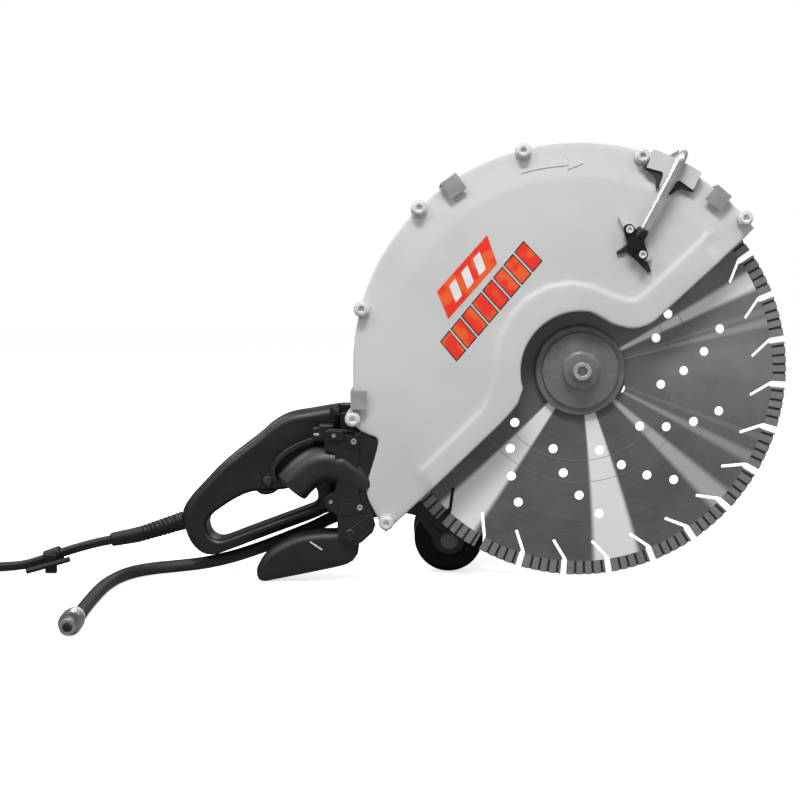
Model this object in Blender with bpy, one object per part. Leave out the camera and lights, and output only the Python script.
"""Concrete cut-off saw: a 16 inch diamond blade under a two-half guard, with its gearbox, motor,
handles, dust elbow, debris shoe, guide wheels, mains cord and water hose.

Metres, +Z up. +X points forward, to the open end of the guard, and the near side of the saw, with
the blade's clamping bolt, faces -Y. Shapes are drawn round the arbor, which is the origin of the
empty "saw", and outlines are lists of (x, z) in millimetres from it.
"""

from math import acos, atan2, cos, degrees, hypot, pi, radians, sin, tan

import bmesh
import bpy
from mathutils import Vector
from mathutils.geometry import tessellate_polygon

MM = 0.001
GAP = 0.0003  # between pieces that touch
WELD = 0.00003

# Where the arbor stands above the point midway under the machine
ARBOR = Vector((0.1336, -0.0898, 0.2070))

# Blade
BLADE_RADIUS = 0.2032
BLADE_HALF = 0.0018
SEGMENTS = 28
GULLET_TURN = radians(8.8)
GULLET_HALF = 0.0030
SEGMENT_ROOT = 0.190
SLOT_HALF = 0.0020
SLOT_OUTER = 0.188
SLOT_INNER = 0.1715
SLOT_LEAN = radians(3.9)
BORE = 0.0127
ARMS = 11
ARM_TURN = radians(-9.8)
ARM_HOLES = ((0.0817, 0.0), (0.1028, 9.6), (0.1240, 18.4), (0.1437, 26.3))
COOLING_HOLE = 0.0045
PIN_CIRCLE = 0.0487
PIN_HOLE = 0.0052
PIN_TURN = radians(-23.5)

# Guard: depths run from the near face to the far face, and the two halves meet at the blade
GUARD_CENTRE = (-6.0, 5.4)
GUARD_RADIUS = 216.0
GUARD_WALL = 3.0
BOSS_INSET = 0.0004
NEAR_FACE = -0.030
FAR_FACE = 0.022
NOTCH_CENTRE = (-2.0, 0.0)
NOTCH_RADIUS = 58.0
RIM_SCREWS = (
    (154.6, 147.3),
    (55.0, 206.5),
    (-58.7, 211.4),
    (-158.3, 157.1),
    (-213.8, 60.2),
    (-222.5, -46.0),
    (-190.0, -147.0),
)

# Gear train, all spur gears of one module: blade gear, idler and the motor's pinion
MODULE = 0.002
ADDENDUM = 0.7
DEDENDUM = 1.0
PRESSURE = radians(20)
BACKLASH = 0.0004
BLADE_TEETH = 34
IDLER_TEETH = 28
PINION_TEETH = 12
MOTOR = (-0.0950, 0.0280)
GEAR_Y = (0.040, 0.052)
CASE_Y = (FAR_FACE + GAP, 0.060)
ARBOR_END = 0.042
MOTOR_END = 0.054
MOTOR_RADIUS = 0.050

# Rear handle
HANDLE_Y = (0.010, 0.052)
HANDLE_SPLIT = 0.032
TRIGGER_PIVOT = (-0.2925, -0.1030)

# Debris shoe and guide wheels
SHOE_PIN = (-0.2255, -0.1600)
WHEEL = (-0.1270, -0.1720)
WHEEL_RADIUS = 0.035
WHEEL_WIDTH = 0.022

# Mains cord and water hose
CORD_RADIUS = 0.00475
COIL_CENTRE = (-0.690, 0.060)
COIL_MEAN = 0.0520
COIL_HALF_WIDTH = 0.0190
COIL_HEIGHT = 0.0285
HOSE_RADIUS = 0.00625

root = None


# ---------------------------------------------------------------- helpers


def clear():
    for thing in list(bpy.data.objects):
        bpy.data.objects.remove(thing, do_unlink=True)


def make_material(name, colour, roughness, metallic):
    material = bpy.data.materials.new(name)
    material.use_nodes = True
    shader = material.node_tree.nodes["Principled BSDF"]
    shader.inputs["Base Color"].default_value = (*colour, 1.0)
    shader.inputs["Roughness"].default_value = roughness
    shader.inputs["Metallic"].default_value = metallic
    return material


def metres(points):
    return [(x * MM, z * MM) for x, z in points]


def arc(centre, radius, start, end, count):
    """Points on an arc in the XZ plane, angles in degrees, anticlockwise seen from -Y."""
    turns = [radians(start + (end - start) * i / (count - 1)) for i in range(count)]
    return [(centre[0] + radius * cos(t), centre[1] + radius * sin(t)) for t in turns]


def circle(centre, radius, count, start=0.0):
    step = 2 * pi / count
    return [
        (centre[0] + radius * cos(start + i * step), centre[1] + radius * sin(start + i * step))
        for i in range(count)
    ]


def area(loop):
    pairs = zip(loop, loop[1:] + loop[:1])
    return 0.5 * sum(a[0] * b[1] - b[0] * a[1] for a, b in pairs)


def prism(outline, near, far, holes=()):
    """A plate with holes: an outline in XZ, in metres, pushed from near to far along Y."""
    loops = [outline if area(outline) > 0 else outline[::-1]]
    loops += [hole if area(hole) < 0 else hole[::-1] for hole in holes]
    bm = bmesh.new()
    rows = [
        [[bm.verts.new((x, y, z)) for x, z in loop] for loop in loops] for y in (near, far)
    ]
    flat = [vert for loop in rows[0] for vert in loop]
    back = [vert for loop in rows[1] for vert in loop]
    for a, b, c in tessellate_polygon([[Vector((x, z, 0)) for x, z in loop] for loop in loops]):
        points = [(flat[i].co.x, flat[i].co.z) for i in (a, b, c)]
        if area(points) < 0:
            a, c = c, a
        bm.faces.new((flat[a], flat[b], flat[c]))
        bm.faces.new((back[c], back[b], back[a]))
    for front, rear in zip(*rows):
        for i, vert in enumerate(front):
            j = (i + 1) % len(front)
            bm.faces.new((vert, rear[i], rear[j], front[j]))
    return bm


def turned(profile, count, centre=(0.0, 0.0)):
    """A solid of revolution about the Y axis through centre, from a closed (radius, y) profile."""
    if area(profile) < 0:
        profile = profile[::-1]
    bm = bmesh.new()
    rows = []
    for radius, y in profile:
        if radius == 0:
            rows.append([bm.verts.new((centre[0], y, centre[1]))] * count)
        else:
            rows.append([bm.verts.new((x, y, z)) for x, z in circle(centre, radius, count)])
    for i, row in enumerate(rows):
        after = rows[(i + 1) % len(rows)]
        for k in range(count):
            n = (k + 1) % count
            corners = [row[k], row[n], after[n], after[k]]
            face = [v for v in dict.fromkeys(corners)]
            if len(face) > 2:
                bm.faces.new(face)
    bmesh.ops.recalc_face_normals(bm, faces=bm.faces)
    return bm


def cylinder(centre, radius, near, far, count=16):
    return prism(circle(centre, radius, count), near, far)


def box(low, high):
    corners = [(low[0], low[2]), (high[0], low[2]), (high[0], high[2]), (low[0], high[2])]
    return prism(corners, low[1], high[1])


def smooth_route(points, spacing):
    """Points every `spacing` along one smooth curve through the given points."""
    points = [Vector(p) for p in points]
    ends = [2 * points[0] - points[1], *points, 2 * points[-1] - points[-2]]
    fine = []
    for a, b, c, d in zip(ends, ends[1:], ends[2:], ends[3:]):
        for k in range(40):
            t = k / 40
            fine.append(
                0.5 * ((2 * b) + (c - a) * t + (2 * a - 5 * b + 4 * c - d) * t * t
                       + (3 * b - a - 3 * c + d) * t**3)
            )
    fine.append(points[-1])
    steps = [(b - a).length for a, b in zip(fine, fine[1:])]
    count = max(2, round(sum(steps) / spacing))
    route, walked, aim = [fine[0]], 0.0, sum(steps) / count
    for a, b, step in zip(fine, fine[1:], steps):
        while len(route) < count and walked + step >= aim * len(route):
            route.append(a.lerp(b, (aim * len(route) - walked) / step))
        walked += step
    return [*route, fine[-1]]


def frames(route):
    """A direction and two crosswise directions at each point of a route, without twist."""
    along = [(route[1] - route[0]).normalized()]
    along += [(c - a).normalized() for a, c in zip(route, route[2:])]
    along.append((route[-1] - route[-2]).normalized())
    side = along[0].cross(Vector((0, 0, 1)))
    if side.length < 0.1:
        side = along[0].cross(Vector((0, 1, 0)))
    found = []
    for direction in along:
        side = (side - direction * side.dot(direction)).normalized()
        found.append((direction, side, direction.cross(side)))
    return found


def sweep(route, radii, count, bore=None):
    """A round rod along a route, or a tube when bore gives its inner radius."""
    bm = bmesh.new()

    def rings(sizes):
        made = []
        for point, size, (_, side, up) in zip(route, sizes, frames(route)):
            turns = [2 * pi * k / count for k in range(count)]
            made.append(
                [bm.verts.new(point + size * (cos(t) * side + sin(t) * up)) for t in turns]
            )
        return made

    def skin(rows):
        for row, after in zip(rows, rows[1:]):
            for k in range(count):
                n = (k + 1) % count
                bm.faces.new((row[k], row[n], after[n], after[k]))

    outer = rings(radii)
    skin(outer)
    if bore is None:
        bm.faces.new(outer[0])
        bm.faces.new(outer[-1])
    else:
        inner = rings([bore] * len(route))
        skin(inner)
        for a, b in ((outer[0], inner[0]), (outer[-1], inner[-1])):
            for k in range(count):
                n = (k + 1) % count
                bm.faces.new((a[k], a[n], b[n], b[k]))
    bmesh.ops.recalc_face_normals(bm, faces=bm.faces)
    return bm


def make(name, bm, material, pivot=(0.0, 0.0, 0.0), smooth=True):
    """One named object whose origin is at pivot, in arbor coordinates."""
    pivot = Vector(pivot)
    bmesh.ops.translate(bm, verts=bm.verts, vec=-pivot)
    mesh = bpy.data.meshes.new(name)
    bm.to_mesh(mesh)
    bm.free()
    if smooth:
        mesh.shade_smooth()
        mesh.set_sharp_from_angle(angle=radians(35))
    piece = bpy.data.objects.new(name, mesh)
    bpy.context.scene.collection.objects.link(piece)
    piece.parent = root
    piece.location = pivot
    piece.data.materials.append(material)
    return piece


def merged(*parts):
    """Several closed shapes as one mesh, for use as a cutter or as bosses to join."""
    whole = bmesh.new()
    for part in parts:
        mesh = bpy.data.meshes.new("shape")
        part.to_mesh(mesh)
        part.free()
        whole.from_mesh(mesh)
        bpy.data.meshes.remove(mesh)
    return whole


def shape_with(piece, kind, label, *parts):
    """Join shapes to a piece, or cut them out of it, with an exact Boolean."""
    tool = make(f"{piece.name}_{label}", merged(*parts), piece.active_material, smooth=False)
    tool.hide_render = True
    tool.display_type = "WIRE"
    step = piece.modifiers.new(label, "BOOLEAN")
    step.operation = kind
    step.solver = "EXACT"
    step.object = tool


def join(piece, label, *parts):
    shape_with(piece, "UNION", label, *parts)


def cut(piece, label, *parts):
    shape_with(piece, "DIFFERENCE", label, *parts)


# ---------------------------------------------------------------- materials


def make_materials():
    return {
        "paint": make_material("guard_paint", (0.62, 0.63, 0.64), 0.45, 0.0),
        "blade": make_material("blade_steel", (0.48, 0.48, 0.48), 0.30, 1.0),
        "steel": make_material("machined_steel", (0.50, 0.50, 0.50), 0.32, 1.0),
        "screw": make_material("zinc_screw", (0.66, 0.67, 0.68), 0.28, 1.0),
        "cast": make_material("cast_aluminium", (0.10, 0.10, 0.11), 0.55, 0.3),
        "plastic": make_material("black_plastic", (0.018, 0.018, 0.020), 0.55, 0.0),
        "rubber": make_material("black_rubber", (0.015, 0.015, 0.015), 0.75, 0.0),
        "tyre": make_material("tyre_rubber", (0.012, 0.012, 0.012), 0.80, 0.0),
        "copper": make_material("motor_windings", (0.45, 0.20, 0.09), 0.40, 0.8),
        "brass": make_material("brass_fitting", (0.72, 0.52, 0.22), 0.30, 1.0),
        "switch": make_material("switch_grey", (0.20, 0.20, 0.21), 0.50, 0.0),
    }


# ---------------------------------------------------------------- guard


def guard_outline():
    """The guard's side view, anticlockwise from its front tip, with the notch round the arbor."""
    rim = arc(GUARD_CENTRE, GUARD_RADIUS, 40.0, 180.0, 29)
    rear = [
        (-222.0, -49.5), (-217.0, -57.0), (-206.4, -62.2), (-198.0, -65.0), (-197.6, -72.0),
        (-202.5, -87.7), (-209.0, -108.0), (-209.8, -118.0), (-207.0, -128.0), (-190.7, -158.2),
    ]
    lower = [(-80.0, -51.4), (-69.2, -39.7), (-62.3, -30.8)]
    notch = arc(NOTCH_CENTRE, NOTCH_RADIUS, 197.0, 80.0, 11)
    front = [
        (17.0, 49.5), (33.7, 42.6), (48.4, 41.3), (63.1, 45.6), (75.1, 54.3), (151.2, 124.5),
        (165.0, 138.5),
    ]
    return metres(rim + rear + lower + notch + front)


def guard_hollow():
    """The inside of the guard: a wall's thickness in from the rim, and open at rear and below."""
    inner = arc(GUARD_CENTRE, GUARD_RADIUS - GUARD_WALL, 30.0, 180.0, 31)
    left = GUARD_CENTRE[0] - GUARD_RADIUS + GUARD_WALL
    return metres(inner + [(left, -46.0), (-240.0, -46.0), (-240.0, -230.0), (240.0, -230.0),
                           (240.0, 60.0)])


def rim_bosses(near, far, radius):
    return [cylinder(metres([p])[0], radius, near, far, 8) for p in RIM_SCREWS]


def weld(piece):
    """Close the hairline seams that a chain of Booleans can leave."""
    step = piece.modifiers.new("weld", "WELD")
    step.merge_threshold = WELD


def make_guard(mats):
    cover = make("guard_cover", prism(guard_outline(), NEAR_FACE, -GAP / 2), mats["paint"])
    wall = GUARD_WALL * MM
    cut(cover, "hollow", prism(guard_hollow(), NEAR_FACE + wall, 0.010))
    pad = metres([(35.0, 150.0), (23.0, 128.0), (50.0, 97.0), (80.0, 101.0), (74.0, 121.0)])
    join(cover, "bosses", prism(pad, NEAR_FACE - 0.003, NEAR_FACE + 0.001),
         *rim_bosses(NEAR_FACE + BOSS_INSET, -GAP / 2 - BOSS_INSET, 0.009))
    holes = rim_bosses(NEAR_FACE - 0.001, 0.001, 0.0033)
    holes += [cylinder(p, 0.0023, NEAR_FACE - 0.004, NEAR_FACE - 0.0005, 8)
              for p in nozzle_screw_places()]
    cut(cover, "holes", *holes)

    back = make("guard_back", prism(guard_outline(), GAP / 2, FAR_FACE), mats["paint"])
    cut(back, "hollow", prism(guard_hollow(), -0.010, FAR_FACE - wall))
    join(back, "bosses", *rim_bosses(GAP / 2 + BOSS_INSET, FAR_FACE - BOSS_INSET, 0.009))
    cut(back, "holes", *rim_bosses(-0.001, 0.014, 0.0033))
    weld(cover)
    weld(back)


def socket_screw(name, place, head_y, head_radius, head_height, shank_radius, tip_y, material):
    """A socket-head screw along Y whose head stands on the near side of head_y."""
    head_radius_inner = 0.5 * head_radius
    x, z = place
    top = head_y - head_height
    depth = 0.55 * head_height
    profile = [
        (0.0, top + depth), (head_radius_inner, top + depth), (head_radius_inner, top),
        (head_radius, top), (head_radius, head_y),
        (shank_radius, head_y), (shank_radius, tip_y), (0.0, tip_y),
    ]
    make(name, turned(profile, 8, place), material, (x, head_y, z))


def make_rim_screws(mats):
    for number, place in enumerate(RIM_SCREWS, 1):
        socket_screw(f"cover_screw_{number}", metres([place])[0], NEAR_FACE - GAP, 0.0078, 0.005,
                     0.003, 0.0135, mats["screw"])


SADDLE_TURN = 64.1


def polar(reach, turn):
    """A point by its distance and direction from the guard's centre, in millimetres and degrees."""
    return (GUARD_CENTRE[0] + reach * cos(radians(turn)), GUARD_CENTRE[1] + reach * sin(radians(turn)))


def rim_hook(centre_angle, reach, width):
    """A U-shaped strap over the guard's rim: outer and inner outlines in (along rim, out, y)."""
    near, far = NEAR_FACE - GAP, FAR_FACE + GAP
    thick = 0.0020
    out = GUARD_RADIUS * MM + GAP
    side = [
        (out - reach, near - thick), (out + thick, near - thick), (out + thick, far + thick),
        (out - 0.6 * reach, far + thick), (out - 0.6 * reach, far), (out, far), (out, near),
        (out - reach, near),
    ]
    bm = bmesh.new()
    ends = []
    across = Vector((-sin(centre_angle), 0, cos(centre_angle)))
    outward = Vector((cos(centre_angle), 0, sin(centre_angle)))
    middle = Vector((GUARD_CENTRE[0] * MM, 0, GUARD_CENTRE[1] * MM))
    for half in (-0.5, 0.5):
        ends.append([
            bm.verts.new(middle + outward * r + across * (half * width) + Vector((0, y, 0)))
            for r, y in side
        ])
    bm.faces.new(ends[0])
    bm.faces.new(ends[1][::-1])
    for i in range(len(side)):
        j = (i + 1) % len(side)
        bm.faces.new((ends[0][i], ends[0][j], ends[1][j], ends[1][i]))
    bmesh.ops.recalc_face_normals(bm, faces=bm.faces)
    return bm


def make_rim_hooks(mats):
    """Three clips over the rim and the saddle that holds the water pipe."""
    for number, angle in enumerate((124.7, 50.2), 1):
        bm = rim_hook(radians(angle), 0.016, 0.018)
        bmesh.ops.translate(bm, verts=bm.verts, vec=Vector((cos(radians(angle)), 0,
                                                            sin(radians(angle)))) * 0.0006)
        make(f"rim_clip_{number}", bm, mats["screw"], smooth=False)
    clip = rim_hook(pi, 0.014, 0.018)
    bmesh.ops.translate(clip, verts=clip.verts, vec=(-0.0002, 0, -0.0329))
    make("rim_clip_3", clip, mats["screw"], smooth=False)
    saddle = rim_hook(radians(SADDLE_TURN), 0.0156, 0.050)
    bmesh.ops.translate(saddle, verts=saddle.verts,
                        vec=Vector((cos(radians(SADDLE_TURN)), 0, sin(radians(SADDLE_TURN)))) * 0.0014)
    holder = make("pipe_saddle", saddle, mats["screw"], smooth=False)
    # The tongue that reaches down behind the pipe
    tongue = [polar(reach, SADDLE_TURN + turn)
              for reach, turn in ((203.0, 2.2), (187.5, 1.9), (187.5, -1.9), (203.0, -2.2))]
    join(holder, "tongue", prism(metres(tongue), NEAR_FACE - GAP - 0.0020, NEAR_FACE - GAP))


# ---------------------------------------------------------------- water feed

NOZZLE = (0.0484, 0.1242)
NOZZLE_LEAN = radians(-62)
NOZZLE_PITCH = 0.027
NOZZLE_Y = (NEAR_FACE - 0.003 - GAP, NEAR_FACE - 0.012)
INLET = (-0.2260, -0.1483)


def nozzle_screw_places():
    reach = NOZZLE_PITCH / 2
    return [
        (NOZZLE[0] + sign * reach * cos(NOZZLE_LEAN), NOZZLE[1] + sign * reach * sin(NOZZLE_LEAN))
        for sign in (1, -1)
    ]


def make_nozzle(mats):
    ends = nozzle_screw_places()
    lean = degrees(NOZZLE_LEAN)
    outline = arc(ends[0], 0.0052, lean - 55, lean + 55, 5)
    outline += arc(NOZZLE, 0.0078, lean + 80, lean + 100, 3)
    outline += arc(ends[1], 0.0052, lean + 125, lean + 235, 5)
    outline += arc(NOZZLE, 0.0078, lean + 260, lean + 280, 3)
    holes = [circle(p, 0.0023, 8) for p in ends]
    make("nozzle_block", prism(outline, NOZZLE_Y[1], NOZZLE_Y[0], holes), mats["plastic"])
    for number, place in enumerate(ends, 1):
        socket_screw(f"nozzle_screw_{number}", place, NOZZLE_Y[1] - GAP, 0.0040, 0.0025, 0.0020,
                     NEAR_FACE - 0.0010, mats["screw"])


PIPE_ROUTE = (
    (0.0541, -0.0378, 0.1332), (0.0630, -0.0385, 0.1502), (0.0745, -0.0390, 0.1721),
    (0.0850, -0.0390, 0.1921), (0.0888, -0.0390, 0.1994), (0.0918, -0.0372, 0.2050),
    (0.0937, -0.0312, 0.2086), (0.0941, -0.0190, 0.2093), (0.0941, 0.0000, 0.2093),
    (0.0941, 0.0190, 0.2093), (0.0937, 0.0295, 0.2084), (0.0914, 0.0340, 0.2042),
    (0.0880, 0.0345, 0.1982),
)

LINE_ROUTE = (
    (0.0860, 0.0345, 0.1955), (0.0780, 0.0342, 0.1908), (0.0450, 0.0330, 0.1900),
    (0.0000, 0.0320, 0.1850), (-0.0500, 0.0320, 0.1750), (-0.1000, 0.0320, 0.1550),
    (-0.1450, 0.0340, 0.1200), (-0.1740, 0.0370, 0.0700), (-0.1830, 0.0390, 0.0100),
    (-0.1830, 0.0395, -0.0500), (-0.1835, 0.0390, -0.1000), (-0.1885, 0.0372, -0.1350),
    (-0.1980, 0.0370, -0.1468), (-0.2095, 0.0368, -0.1483),
)


def make_water_line(mats):
    pipe = smooth_route(PIPE_ROUTE, 0.009)
    make("water_pipe", sweep(pipe, [0.0045] * len(pipe), 8), mats["screw"])
    line = smooth_route(LINE_ROUTE, 0.020)
    make("water_line", sweep(line, [0.0040] * len(line), 8), mats["rubber"])
    x, z = INLET
    body = box((x - 0.010, 0.0216, z - 0.0072), (x + 0.0144, 0.0415, z + 0.0078))
    inlet = make("water_inlet", body, mats["brass"], smooth=False)
    join(inlet, "tap", cylinder((x + 0.001, z), 0.0055, 0.035, 0.0555, 10))
    join(inlet, "lever", box((x - 0.010, 0.053, z - 0.0035), (x + 0.012, 0.0570, z + 0.0035)))


# ---------------------------------------------------------------- blade and arbor


def blade_outline():
    points = []
    for k in range(SEGMENTS):
        gullet = GULLET_TURN + k * 2 * pi / SEGMENTS
        following = gullet + 2 * pi / SEGMENTS
        start = gullet + GULLET_HALF / BLADE_RADIUS
        end = following - GULLET_HALF / BLADE_RADIUS
        slot = gullet - SLOT_LEAN
        ways = [
            (SLOT_OUTER, gullet - SLOT_HALF / SLOT_OUTER),
            (SLOT_INNER, slot - SLOT_HALF / SLOT_INNER),
            (SLOT_INNER - SLOT_HALF, slot),
            (SLOT_INNER, slot + SLOT_HALF / SLOT_INNER),
            (SLOT_OUTER, gullet + SLOT_HALF / SLOT_OUTER),
            (SEGMENT_ROOT, gullet + GULLET_HALF / SEGMENT_ROOT),
            (BLADE_RADIUS, start),
            (BLADE_RADIUS, (start + end) / 2),
            (BLADE_RADIUS, end),
            (SEGMENT_ROOT, following - GULLET_HALF / SEGMENT_ROOT),
        ]
        points += [(r * cos(t), r * sin(t)) for r, t in ways]
    return points


def blade_holes():
    holes = [circle((0, 0), BORE, 20)]
    for arm in range(ARMS):
        for radius, lead in ARM_HOLES:
            turn = ARM_TURN + arm * 2 * pi / ARMS + radians(lead)
            holes.append(circle((radius * cos(turn), radius * sin(turn)), COOLING_HOLE, 6))
    for k in range(6):
        turn = PIN_TURN + k * pi / 3
        holes.append(circle((PIN_CIRCLE * cos(turn), PIN_CIRCLE * sin(turn)), PIN_HOLE, 6))
    return holes


def make_blade(mats):
    make("blade", prism(blade_outline(), -BLADE_HALF, BLADE_HALF, blade_holes()), mats["blade"],
         smooth=False)
    outer = [
        (0.0053, -0.0170), (0.0180, -0.0170), (0.0180, -0.0110), (0.0375, -0.0110),
        (0.0375, -0.0070), (0.0440, -0.0070), (0.0440, -BLADE_HALF - GAP),
        (BORE, -BLADE_HALF - GAP), (BORE, -0.0075), (0.0053, -0.0075),
    ]
    make("outer_flange", turned(outer, 24), mats["steel"])
    inner = [
        (BORE, BLADE_HALF + GAP), (0.0440, BLADE_HALF + GAP), (0.0440, 0.0060),
        (0.0200, 0.0086), (BORE, 0.0086),
    ]
    make("inner_flange", turned(inner, 20), mats["steel"])
    bolt = [
        (0.0, -0.0225), (0.0045, -0.0225), (0.0045, -0.0275), (0.0090, -0.0275),
        (0.0090, -0.0173), (0.0050, -0.0173), (0.0050, 0.0150),
        (0.0, 0.0150),
    ]
    make("blade_bolt", turned(bolt, 12), mats["screw"])


def make_arbor(mats):
    seat = BORE - GAP
    shaft = [
        (0.0, 0.0153), (0.0053, 0.0153), (0.0053, -0.0072), (seat, -0.0072), (seat, 0.0089),
        (0.0170, 0.0089), (0.0170, 0.0105), (0.0130, 0.0105), (0.0130, 0.0130), (0.0097, 0.0130),
        (0.0097, 0.0545), (0.0080, 0.0545), (0.0080, 0.0696), (0.0, 0.0696),
    ]
    make("arbor_shaft", turned(shaft, 14), mats["steel"])
    front = [(0.0100, 0.0134), (0.0200, 0.0134), (0.0200, 0.0254), (0.0100, 0.0254)]
    make("arbor_bearing_front", turned(front, 20), mats["steel"])
    rear = [(0.0083, 0.0606), (0.0140, 0.0606), (0.0140, 0.0693), (0.0083, 0.0693)]
    make("arbor_bearing_rear", turned(rear, 20), mats["steel"])


# ---------------------------------------------------------------- gear train


def involute(angle):
    return tan(angle) - angle


def gear_outline(teeth, centre, phase):
    """A spur gear's outline with a tooth centred on phase, in radians."""
    pitch = MODULE * teeth / 2
    base = pitch * cos(PRESSURE)
    tip = pitch + ADDENDUM * MODULE
    foot = pitch - DEDENDUM * MODULE
    half_pitch = (pi * MODULE / 2 - BACKLASH / 2) / (2 * pitch) + involute(PRESSURE)

    def half(radius):
        return half_pitch - involute(acos(min(1.0, base / radius)))

    flank = [(r, half(max(r, base))) for r in (foot, tip)]
    points = []
    for k in range(teeth):
        middle = phase + 2 * pi * k / teeth
        points += [(r, middle - h) for r, h in flank] + [(r, middle + h) for r, h in flank[::-1]]
    return [(centre[0] + r * cos(t), centre[1] + r * sin(t)) for r, t in points]


def meshing_phase(teeth, phase, mate_teeth, direction):
    """The phase of a mate that lies along direction, so that its gap takes the first's tooth."""
    share = teeth * (direction - phase) / (2 * pi)
    return direction + pi - 2 * pi * (0.5 - share) / mate_teeth


def idler_centre():
    """Where the idler meets both other gears, below the line from arbor to motor."""
    reach_a = MODULE * (BLADE_TEETH + IDLER_TEETH) / 2
    reach_b = MODULE * (PINION_TEETH + IDLER_TEETH) / 2
    span = hypot(*MOTOR)
    along = (reach_a**2 - reach_b**2 + span**2) / (2 * span)
    drop = (reach_a**2 - along**2) ** 0.5
    ux, uz = MOTOR[0] / span, MOTOR[1] / span
    return (ux * along - uz * drop, uz * along + ux * drop)


def make_gears(mats):
    idler = idler_centre()
    near, far = GEAR_Y
    to_idler = atan2(idler[1], idler[0])
    to_motor = atan2(MOTOR[1] - idler[1], MOTOR[0] - idler[0])
    idler_phase = meshing_phase(BLADE_TEETH, 0.0, IDLER_TEETH, to_idler)
    pinion_phase = meshing_phase(IDLER_TEETH, idler_phase, PINION_TEETH, to_motor)
    blade_gear = prism(gear_outline(BLADE_TEETH, (0, 0), 0.0), near, far,
                       [circle((0, 0), 0.0100, 16)])
    make("output_gear", blade_gear, mats["steel"])
    idler_gear = prism(gear_outline(IDLER_TEETH, idler, idler_phase), near, far,
                       [circle(idler, 0.0060, 14)])
    make("idler_gear", idler_gear, mats["steel"], (idler[0], near, idler[1]))
    return idler, pinion_phase


def make_armature(mats, pinion_phase):
    core = [
        (0.0, 0.0395), (0.0070, 0.0395), (0.0070, 0.0600), (0.0080, 0.0600), (0.0080, 0.0740),
        (0.0400, 0.0740), (0.0400, 0.0820), (0.0080, 0.0820), (0.0080, 0.0980),
        (0.0290, 0.0980), (0.0290, 0.1480), (0.0080, 0.1480), (0.0080, 0.1620),
        (0.0160, 0.1620), (0.0160, 0.1820), (0.0080, 0.1820), (0.0080, 0.2150), (0.0, 0.2150),
    ]
    armature = make("armature", turned(core, 14, MOTOR), mats["copper"],
                    (MOTOR[0], 0.0395, MOTOR[1]))
    pinion = prism(gear_outline(PINION_TEETH, MOTOR, pinion_phase), GEAR_Y[0] - 0.0010,
                   GEAR_Y[1] + 0.0010)
    join(armature, "pinion", pinion)


def teardrop(end_a, end_b, count):
    """The hull of two circles: round the arbor, and round the motor's axis."""
    span = hypot(*MOTOR)
    heading = degrees(atan2(MOTOR[1], MOTOR[0]))
    swing = degrees(acos((end_a - end_b) / span))
    return (arc((0, 0), end_a, heading + swing - 360, heading - swing, count)
            + arc(MOTOR, end_b, heading - swing, heading + swing, count))


def make_gear_case(mats, idler):
    near, far = CASE_Y
    wall = 0.004
    case = make("gear_case", prism(teardrop(ARBOR_END, MOTOR_END, 13), near, far), mats["cast"])
    join(case, "nose", cylinder((0, 0), 0.0260, 0.0110, near + 0.003, 28))
    cut(case, "inside", prism(teardrop(ARBOR_END - wall, MOTOR_END - wall, 13), near + wall + GAP,
                              far + 0.002))
    seat = [
        (0.0, 0.0100), (0.0136, 0.0100), (0.0136, 0.0130), (0.0203, 0.0130),
        (0.0203, near + wall + 0.002), (0.0, near + wall + 0.002),
    ]
    cut(case, "bearing_seat", turned(seat, 20))
    join(case, "idler_stub", cylinder(idler, 0.0057, near + wall - 0.001, far - 0.003, 14))

    lid = make("gear_case_lid", prism(teardrop(ARBOR_END, MOTOR_END, 13), far + GAP, far + 0.008),
               mats["cast"])
    join(lid, "rear_boss", cylinder((0, 0), 0.0200, far + 0.004, far + 0.0140, 24))
    cut(lid, "seats", cylinder((0, 0), 0.0143, far - 0.001, far + 0.0097, 20),
        cylinder(MOTOR, 0.0084, far - 0.001, far + 0.010, 16))


def make_motor(mats):
    start = CASE_Y[1] + 0.008 + GAP
    end = 0.2050
    bore = 0.0465
    shell = [(bore, start), (MOTOR_RADIUS, start), (MOTOR_RADIUS, end), (bore, end)]
    housing = make("motor_housing", turned(shell, 24, MOTOR), mats["cast"])
    top = MOTOR[1] + MOTOR_RADIUS
    pads = [box((BAIL_X - 0.013, y - 0.0105, top - 0.0032), (BAIL_X + 0.013, y + 0.0105, top + 0.006))
            for y in BAIL_LEGS]
    join(housing, "handle_pads", *pads)
    cap = [
        (0.0, 0.2160), (0.0084, 0.2160), (0.0084, 0.2060), (0.0140, 0.2060), (0.0140, 0.2190),
        (bore, 0.2170), (bore, end + GAP), (MOTOR_RADIUS, end + GAP), (MOTOR_RADIUS, 0.2180),
        (0.0450, 0.2245), (0.0, 0.2245),
    ]
    make("motor_end_cap", turned(cap, 24, MOTOR), mats["plastic"])
    ring = [(0.0303, 0.0950), (bore - GAP, 0.0950), (bore - GAP, 0.1500), (0.0303, 0.1500)]
    make("stator", turned(ring, 24, MOTOR), mats["copper"])


# ---------------------------------------------------------------- front handle

BAIL_X = -0.0950
BAIL_LEGS = (0.0860, 0.1940)
BAIL_TOP = 0.1600
BAIL_RADIUS = 0.0110


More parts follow.
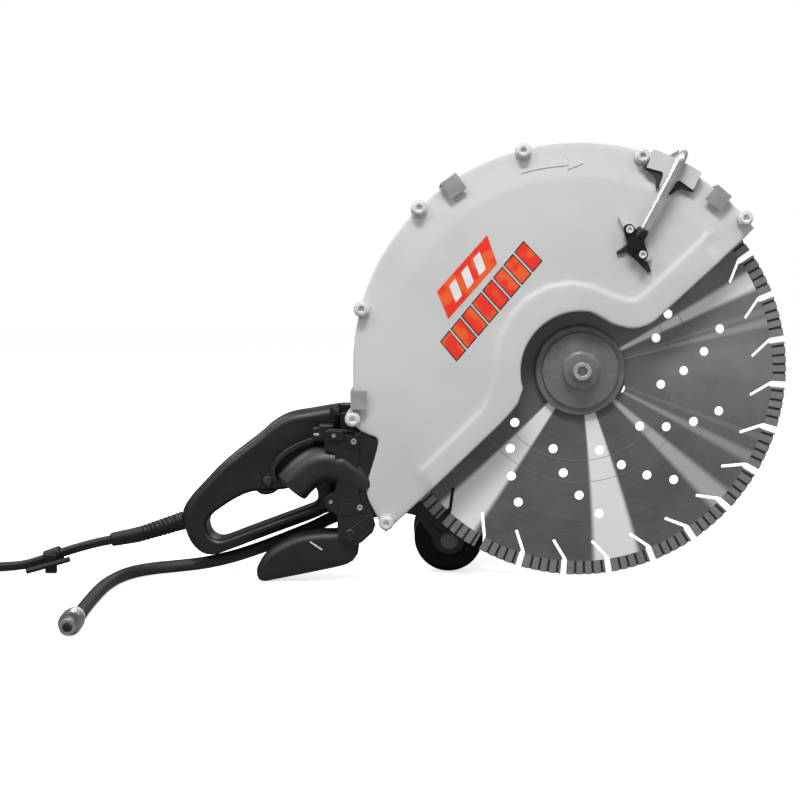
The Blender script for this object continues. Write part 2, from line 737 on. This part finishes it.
def make_front_handle(mats):
    foot = MOTOR[1] + MOTOR_RADIUS + 0.006 + GAP
    near, far = BAIL_LEGS
    bend = 0.026
    corner_a = [(BAIL_X, y, z) for y, z in arc((near + bend, BAIL_TOP - bend), bend, 180, 90, 5)]
    corner_b = [(BAIL_X, y, z) for y, z in arc((far - bend, BAIL_TOP - bend), bend, 90, 0, 5)]
    route = [Vector(p) for p in [(BAIL_X, near, foot), *corner_a, *corner_b, (BAIL_X, far, foot)]]
    make("front_handle", sweep(route, [BAIL_RADIUS] * len(route), 12), mats["cast"])
    grip = [
        (BAIL_RADIUS + GAP, near + 0.028), (0.0150, near + 0.028), (0.0165, near + 0.031),
        (0.0165, far - 0.031), (0.0150, far - 0.028), (BAIL_RADIUS + GAP, far - 0.028),
    ]
    make("front_grip", turned(grip, 16, (BAIL_X, BAIL_TOP)), mats["rubber"])


# ---------------------------------------------------------------- rear frame and wheels


def make_rear_frame(mats):
    hug = arc((MOTOR[0] / MM, MOTOR[1] / MM), (MOTOR_END + 0.0006) / MM, 150, 236, 12)
    lug = arc((WHEEL[0] / MM, WHEEL[1] / MM), 15.0, 10, -170, 9)
    outline = metres(
        hug + [(-121.0, -60.0), (-110.0, -120.0)] + lug
        + [(-160.0, -148.0), (-196.0, -139.8), (-236.5, -139.8), (-236.5, -44.0),
           (-210.0, -41.0), (-210.0, -20.0), (-190.0, 40.0), (-160.0, 70.0)]
    )
    plate = prism(outline, FAR_FACE + GAP, 0.0320, [circle(WHEEL, 0.0063, 12)])
    make("rear_frame", plate, mats["cast"])


def make_wheels(mats):
    width = WHEEL_WIDTH
    half = width / 2
    for name, middle in (("wheel_near", 0.0470), ("wheel_far", 0.1070)):
        r = WHEEL_RADIUS
        profile = [
            (0.0063, middle - half), (r - 0.004, middle - half), (r, middle - half + 0.005),
            (r, middle + half - 0.005), (r - 0.004, middle + half), (0.0063, middle + half),
        ]
        make(name, turned(profile, 28, WHEEL), mats["tyre"], (WHEEL[0], middle, WHEEL[1]))
    axle = [
        (0.0, 0.0175), (0.0090, 0.0175), (0.0090, FAR_FACE),
        (0.0060, FAR_FACE), (0.0060, 0.0323), (0.0090, 0.0323), (0.0090, 0.0355),
        (0.0060, 0.0355), (0.0060, 0.0585), (0.0090, 0.0585), (0.0090, 0.0955),
        (0.0060, 0.0955), (0.0060, 0.1185), (0.0090, 0.1185), (0.0090, 0.1225),
        (0.0, 0.1225),
    ]
    make("wheel_axle", turned(axle, 14, WHEEL), mats["screw"])


# ---------------------------------------------------------------- dust chute, elbow and shoe

CHUTE_Y = (-0.0240, 0.0180)
ELBOW_START = (-0.2330, -0.0995)
ELBOW_Y = -0.0100
ELBOW_ROUTE = (
    (ELBOW_START[0], ELBOW_Y, ELBOW_START[1]), (-0.2415, ELBOW_Y, -0.0985), (-0.2510, ELBOW_Y, -0.0978),
    (-0.2620, ELBOW_Y, -0.1005), (-0.2735, ELBOW_Y, -0.1090), (-0.2830, ELBOW_Y, -0.1195),
)
ELBOW_RADIUS = 0.0170


def make_chute(mats):
    near, far = CHUTE_Y
    outline = metres([
        (-198.9, -66.4), (-198.5, -72.0), (-203.4, -88.0), (-209.9, -108.2), (-210.7, -118.0),
        (-207.9, -128.4), (-202.5, -138.6), (-216.0, -143.0), (-230.0, -143.0), (-230.0, -60.5),
        (-221.5, -56.8), (-207.0, -63.2),
    ])
    hollow = metres([
        (-180.0, -70.0), (-180.0, -135.0), (-212.0, -139.5), (-227.0, -139.5), (-227.0, -66.0),
        (-212.0, -66.0),
    ])
    chute = make("rear_chute", prism(outline, near, far), mats["plastic"])
    cut(chute, "inside", prism(hollow, near + 0.003, far - 0.003))
    cheek = metres([
        (-246.0, -56.0), (-229.5, -56.5), (-228.0, -143.5), (-203.0, -139.2), (-200.5, -150.0),
        (-203.0, -157.0), (-214.0, -167.0), (-224.0, -171.5), (-234.0, -166.0),
        (-237.5, -156.0), (-238.0, -140.0), (-250.0, -132.0), (-250.0, -122.0),
        (-229.5, -121.0), (-229.5, -77.5), (-250.0, -76.0), (-250.0, -60.0),
    ])
    lugs = metres([
        (-236.5, -140.0), (-203.0, -140.0), (-203.0, -157.0), (-214.0, -167.0),
        (-224.0, -171.5), (-234.0, -166.0), (-237.5, -156.0),
    ])
    join(chute, "cheeks", prism(cheek, near - 0.003, near + 0.0005),
         prism(lugs, far - 0.0005, far + 0.003))
    cut(chute, "ways", *chute_ways())


def chute_ways():
    """The pin's holes, the screws' holes and the way out to the elbow."""
    near, far = CHUTE_Y
    pin = cylinder(SHOE_PIN, 0.0043, near - 0.010, far + 0.010, 12)
    screws = [cylinder(place, 0.0023, near - 0.010, near + 0.010, 8) for place in CHUTE_SCREWS]
    x, z = ELBOW_START
    mouth = sweep([Vector((x - 0.002, ELBOW_Y, z)), Vector((x + 0.010, ELBOW_Y, z))],
                  [0.0120] * 2, 12)
    return [pin, *screws, mouth]


CHUTE_SCREWS = ((-0.2215, -0.0680), (-0.2156, -0.1324))


def make_chute_screws(mats):
    for number, place in enumerate(CHUTE_SCREWS, 1):
        socket_screw(f"chute_screw_{number}", place, CHUTE_Y[0] - 0.003 - GAP, 0.0042, 0.0030,
                     0.0020, CHUTE_Y[0] + 0.0060, mats["screw"])


def make_elbow(mats):
    route = smooth_route(ELBOW_ROUTE, 0.0075)
    elbow = sweep(route, [ELBOW_RADIUS] * len(route), 14, ELBOW_RADIUS - 0.003)
    make("dust_elbow", elbow, mats["rubber"])
    start, end = route[0] + Vector((-0.0050, 0, 0.0006)), route[0] + Vector((-0.0120, 0, 0.0012))
    band = sweep([start, end], [ELBOW_RADIUS + 0.0030] * 2, 16, ELBOW_RADIUS + 0.0006)
    clamp = make("elbow_clamp", band, mats["screw"])
    join(clamp, "latch", box((-0.2435, ELBOW_Y - 0.006, -0.0797),
                             (-0.2366, ELBOW_Y + 0.006, -0.0700)))


def make_shoe(mats):
    eye = arc((SHOE_PIN[0] / MM, SHOE_PIN[1] / MM), 8.5, -50, 120, 8)
    outline = metres(
        [(-318.0, -203.0), (-315.5, -206.95), (-307.0, -206.95), (-237.0, -192.5),
         (-222.0, -187.0), (-215.0, -178.0)]
        + eye
        + [(-238.0, -158.0), (-255.0, -158.0), (-270.0, -160.5), (-281.0, -164.0),
           (-292.0, -168.5), (-304.0, -177.0), (-312.0, -184.5), (-316.5, -192.0)]
    )
    near, far = CHUTE_Y
    shoe = prism(outline, near + 0.001, far - 0.001, [circle(SHOE_PIN, 0.0043, 12)])
    make("debris_shoe", shoe, mats["rubber"], (SHOE_PIN[0], 0, SHOE_PIN[1]))
    pin = [
        (0.0, near - 0.0060), (0.0065, near - 0.0060), (0.0065, near - 0.003 - GAP),
        (0.0040, near - 0.003 - GAP), (0.0040, far + 0.0045), (0.0, far + 0.0045),
    ]
    make("shoe_pin", turned(pin, 12, SHOE_PIN), mats["screw"])


# ---------------------------------------------------------------- rear handle


def handle_outline():
    return metres([
        (-237.0, -35.0), (-264.0, -40.3), (-287.0, -44.0), (-303.5, -52.5), (-319.0, -66.0),
        (-341.0, -83.0), (-356.5, -95.3), (-371.8, -112.2), (-387.0, -129.0), (-395.5, -143.0),
        (-391.0, -163.5), (-387.0, -173.0), (-380.5, -181.5), (-373.0, -186.0), (-363.0, -186.5),
        (-347.3, -181.5), (-317.0, -170.0), (-264.0, -150.4), (-251.5, -144.3),
        (-237.0, -141.0),
    ])


def hand_opening():
    return metres([
        (-370.0, -152.5), (-369.5, -160.5), (-366.7, -166.0), (-360.6, -170.0), (-353.0, -170.0),
        (-260.6, -135.0), (-258.5, -129.0), (-261.0, -116.5), (-285.0, -118.0), (-293.0, -120.0),
        (-326.0, -122.5), (-341.0, -129.0), (-356.5, -139.2), (-367.5, -147.4),
    ])


def handle_inside():
    """The room for the switch and trigger, which opens into the hand opening."""
    return metres([
        (-328.0, -127.0), (-288.0, -127.0), (-288.0, -108.0), (-286.0, -97.0), (-286.0, -60.0),
        (-300.0, -60.0), (-328.0, -84.0),
    ])


def make_handle(mats):
    near, far = HANDLE_Y
    skin = 0.003
    outline, opening = handle_outline(), hand_opening()
    shell_a = make("handle_shell_near", prism(outline, near, HANDLE_SPLIT - GAP / 2, [opening]),
                   mats["plastic"])
    cut(shell_a, "inside", prism(handle_inside(), near + skin, HANDLE_SPLIT + 0.002))
    cut(shell_a, "button_hole", cylinder(LOCK_BUTTON, 0.0053, near - 0.002, near + 0.006, 14))
    tail = [(-0.2368, -0.0350), (-0.2080, -0.0350), (-0.2080, -0.1100), (-0.2368, -0.1395)]
    shell_b = make("handle_shell_far", prism(outline, HANDLE_SPLIT + GAP, far, [opening]),
                   mats["plastic"])
    join(shell_b, "tail", prism([(-0.2450, -0.0450), (-0.2450, -0.1300), tail[3], tail[2],
                                 tail[1], tail[0]], HANDLE_SPLIT + GAP, far - 0.006))
    cut(shell_b, "inside", prism(handle_inside(), HANDLE_SPLIT - 0.002, far - skin))


LOCK_BUTTON = (-0.3085, -0.1105)


def make_trigger(mats):
    outline = metres([
        (-289.5, -99.5), (-296.0, -99.0), (-324.0, -105.5), (-325.0, -113.0), (-322.0, -122.0),
        (-314.0, -126.5), (-305.0, -125.5), (-298.0, -121.0), (-290.5, -119.0),
    ])
    trigger = prism(outline, 0.0160, 0.0460)
    x, z = TRIGGER_PIVOT
    make("trigger", trigger, mats["plastic"], (x, 0.031, z))
    switch = box((-0.3240, 0.0150, -0.0945), (-0.2930, 0.0470, -0.0830))
    make("switch_block", switch, mats["switch"], smooth=False)
    x, z = LOCK_BUTTON
    button = [
        (0.0, 0.0075), (0.0038, 0.0075), (0.0050, 0.0085), (0.0050, 0.0125), (0.0, 0.0125),
    ]
    make("lock_button", turned(button, 14, LOCK_BUTTON), mats["plastic"], (x, 0.0075, z))


# ---------------------------------------------------------------- mains cord

SLEEVE_ROUTE = (
    (-0.3948, 0.0310, -0.1535), (-0.4090, 0.0310, -0.1580), (-0.4240, 0.0310, -0.1628),
    (-0.4420, 0.0310, -0.1682), (-0.4690, 0.0310, -0.1735),
)

FLOOR = -ARBOR.z
ON_FLOOR = FLOOR + CORD_RADIUS + 0.0002

CORD_ROUTE = (
    (-0.4693, 0.0310, -0.17355), (-0.4860, 0.0310, -0.1771), (-0.5040, 0.0312, -0.1820),
    (-0.5230, 0.0316, -0.1880), (-0.5410, 0.0326, -0.1945), (-0.5580, 0.0342, -0.1995),
    (-0.5760, 0.0356, ON_FLOOR + 0.0004), (-0.5940, 0.0325, ON_FLOOR),
    (-0.6110, 0.0190, ON_FLOOR), (-0.6300, 0.0020, ON_FLOOR), (-0.6520, -0.0105, ON_FLOOR),
    (-0.6730, -0.0158, ON_FLOOR), (-0.6900, -0.0168, ON_FLOOR),
)


def make_cord(name, route, radius, material, spacing):
    points = smooth_route(route, spacing)
    curve = bpy.data.curves.new(name, "CURVE")
    curve.dimensions = "3D"
    curve.bevel_depth = radius
    curve.bevel_resolution = 2
    curve.use_fill_caps = True
    spline = curve.splines.new("POLY")
    spline.points.add(len(points) - 1)
    for knot, point in zip(spline.points, points):
        knot.co = (*point, 1.0)
    curve.materials.append(material)
    cord = bpy.data.objects.new(name, curve)
    bpy.context.scene.collection.objects.link(cord)
    cord.parent = root


def coil_ring():
    """The outer shape of the wound cord, a ring with its axis upright."""
    bm = bmesh.new()
    low = FLOOR + 0.0002
    inner, outer = COIL_MEAN - COIL_HALF_WIDTH, COIL_MEAN + COIL_HALF_WIDTH
    side = 0.005
    profile = [
        (inner + side, low), (outer - side, low), (outer, low + side),
        (outer, low + COIL_HEIGHT - side), (outer - side, low + COIL_HEIGHT),
        (inner + side, low + COIL_HEIGHT), (inner, low + COIL_HEIGHT - side), (inner, low + side),
    ]
    count = 28
    rows = []
    for radius, z in profile:
        ring = circle(COIL_CENTRE, radius, count)
        rows.append([bm.verts.new((x, y, z)) for x, y in ring])
    for row, after in zip(rows, rows[1:] + rows[:1]):
        for k in range(count):
            n = (k + 1) % count
            bm.faces.new((row[k], row[n], after[n], after[k]))
    bmesh.ops.recalc_face_normals(bm, faces=bm.faces)
    return bm


def make_mains(mats):
    sleeve = smooth_route(SLEEVE_ROUTE, 0.012)
    share = [i / (len(sleeve) - 1) for i in range(len(sleeve))]
    make("cord_sleeve", sweep(sleeve, [0.0093 - 0.0023 * s for s in share], 14), mats["rubber"])
    make_cord("power_cord", CORD_ROUTE, CORD_RADIUS, mats["rubber"], 0.020)
    make("cord_coil", coil_ring(), mats["rubber"])
    top = FLOOR + COIL_HEIGHT + 0.0005
    x, y = COIL_CENTRE
    body = box((x - 0.0260, y + 0.0200, top), (x + 0.0200, y + 0.0560, top + 0.0260))
    plug = make("plug", body, mats["rubber"], smooth=False)
    join(plug, "pins", box((x + 0.0190, y + 0.0300, top + 0.0120),
                           (x + 0.0380, y + 0.0315, top + 0.0185)),
         box((x + 0.0190, y + 0.0445, top + 0.0120), (x + 0.0380, y + 0.0460, top + 0.0185)))


def make_key(mats):
    """A rubber holder round the cord with a hex key in it."""
    start, end = Vector((-0.5210, 0.03155, -0.1874)), Vector((-0.5350, 0.0322, -0.1924))
    ring = sweep([start, end], [CORD_RADIUS + 0.0030] * 2, 12, CORD_RADIUS + 0.0006)
    holder = make("key_holder", ring, mats["rubber"])
    join(holder, "loop", box((-0.5345, 0.0200, -0.2060), (-0.5225, 0.0250, -0.1860)))
    key = [Vector(p) for p in ((-0.5520, 0.0165, -0.2033), (-0.5085, 0.0165, -0.1910))]
    make("hex_key", sweep(key, [0.0030] * 2, 6), mats["screw"], smooth=False)


# ---------------------------------------------------------------- water hose

HOSE_FLOOR = FLOOR + HOSE_RADIUS + 0.0002
HOSE_ROUTE = (
    (-0.2390, 0.0310, -0.1483), (-0.2500, 0.0310, -0.1530), (-0.2640, 0.0306, -0.1600),
    (-0.2880, 0.0310, -0.1700), (-0.3167, 0.0310, -0.1810), (-0.3460, 0.0310, -0.1905),
    (-0.3740, 0.0302, -0.1967), (-0.4000, 0.0275, -0.1995), (-0.4230, 0.0190, HOSE_FLOOR + 0.0002),
    (-0.4400, 0.0010, HOSE_FLOOR), (-0.4505, -0.0280, HOSE_FLOOR),
    (-0.4560, -0.0700, HOSE_FLOOR), (-0.4560, -0.1250, HOSE_FLOOR),
    (-0.4540, -0.1800, HOSE_FLOOR), (-0.4510, -0.2280, HOSE_FLOOR),
)


def make_hose(mats):
    make_cord("water_hose", HOSE_ROUTE, HOSE_RADIUS, mats["rubber"], 0.028)
    tip = Vector(HOSE_ROUTE[-1])
    heading = (tip - Vector(HOSE_ROUTE[-2])).normalized()
    lift = Vector((0, 0, 0.0040))
    places = [(GAP, 0.0085), (0.012, 0.0085), (0.0125, 0.0100), (0.030, 0.0100), (0.0305, 0.0070),
              (0.044, 0.0070)]
    route = [tip + lift + heading * distance for distance, _ in places]
    coupler = sweep(route, [radius for _, radius in places], 12)
    make("hose_coupler", coupler, mats["brass"])


# ---------------------------------------------------------------- assembly


def main():
    global root
    clear()
    root = bpy.data.objects.new("saw", None)
    bpy.context.scene.collection.objects.link(root)
    root.location = ARBOR
    mats = make_materials()
    make_guard(mats)
    make_rim_screws(mats)
    make_rim_hooks(mats)
    make_nozzle(mats)
    make_water_line(mats)
    make_blade(mats)
    make_arbor(mats)
    idler, pinion_phase = make_gears(mats)
    make_armature(mats, pinion_phase)
    make_gear_case(mats, idler)
    make_motor(mats)
    make_front_handle(mats)
    make_rear_frame(mats)
    make_wheels(mats)
    make_chute(mats)
    make_chute_screws(mats)
    make_elbow(mats)
    make_shoe(mats)
    make_handle(mats)
    make_trigger(mats)
    make_mains(mats)
    make_key(mats)
    make_hose(mats)
    bpy.context.view_layer.update()


main()
